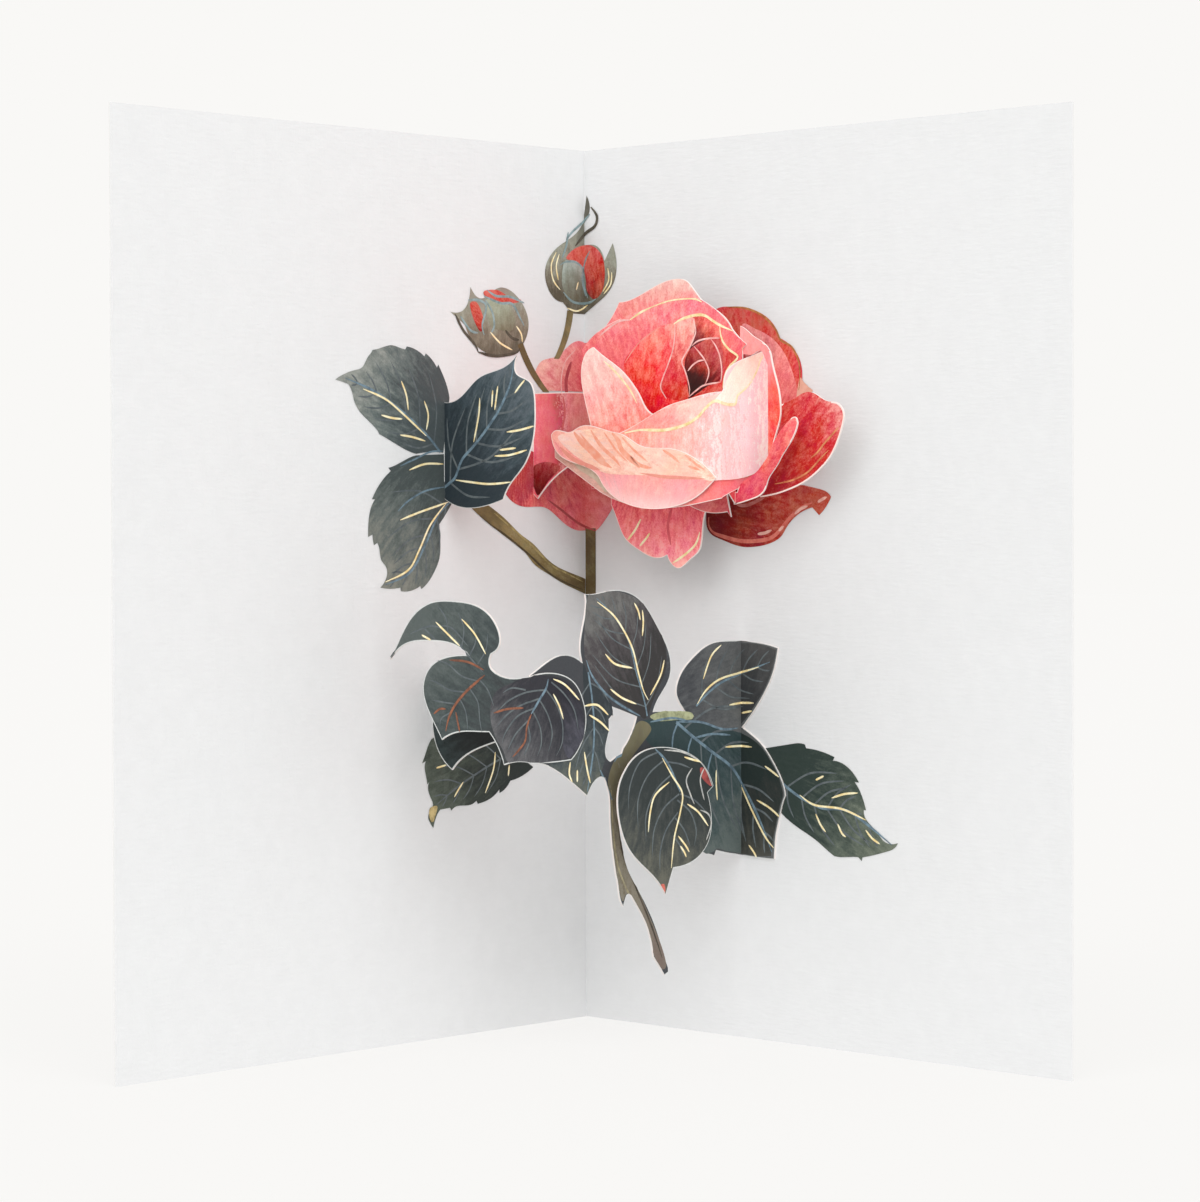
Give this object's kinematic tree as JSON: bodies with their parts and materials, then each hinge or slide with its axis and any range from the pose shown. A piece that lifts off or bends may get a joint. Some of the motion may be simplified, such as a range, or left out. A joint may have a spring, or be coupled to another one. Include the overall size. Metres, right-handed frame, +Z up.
{
  "type": "pop-up greeting card",
  "caption": "Folded greeting card standing open, with a rose of die-cut folded paper that pops up from the fold between its two panels.",
  "frame": {"origin": "centre of the open card's footprint box, on the surface it stands on", "axes": "+Z up along the fold, +Y towards the fold at the back, the card opens towards -Y, +X to the viewer's right"},
  "size_m": [0.1742, 0.0936, 0.1778],
  "materials": {
    "cover_paper": "white card with a fine linen emboss",
    "lining_paper": "white paper with a fine linen emboss",
    "petal_pink": "matte printed paper, watercolour pink",
    "petal_pale": "matte printed paper, pale pink with gilt lines",
    "petal_deep": "matte printed paper, deep red",
    "leaf_green": "matte printed paper, dark blue-green with gilt veins",
    "strut_paper": "plain white paper",
    "pad_foam": "white adhesive foam",
    "print_leaf": "printed film, dark green",
    "print_stem": "printed film, olive brown",
    "print_sepal": "printed film, grey green",
    "print_petal": "printed film, rose red"
  },
  "bodies": {
    "root": {"cover_card": "cover_paper", "lining_sheet": "lining_paper", "band_petal": "petal_pink", "crown_petal": "petal_pink", "heart_petals": "petal_pink", "right_petal": "petal_pink", "base_petal": "petal_pink", "tip_petal": "petal_pink", "left_petal": "petal_pale", "under_petal": "petal_pink", "front_petal": "petal_pale", "low_petal": "petal_pale", "wing_petal": "petal_deep", "side_petal": "petal_pink", "heart_strut_left": "strut_paper", "heart_strut_right": "strut_paper", "wing_strut": "strut_paper", "upper_leaf": "leaf_green", "upper_leaf_bracket": "strut_paper", "under_leaf_bracket": "leaf_green", "leaf_cluster": "leaf_green", "stem_sheet": "leaf_green", "front_leaf": "leaf_green", "front_leaf_pad": "pad_foam", "printed_leaves": "print_leaf", "printed_stems": "print_stem", "printed_sepals": "print_sepal", "printed_petals": "print_petal"}
  },
  "joints": []
}
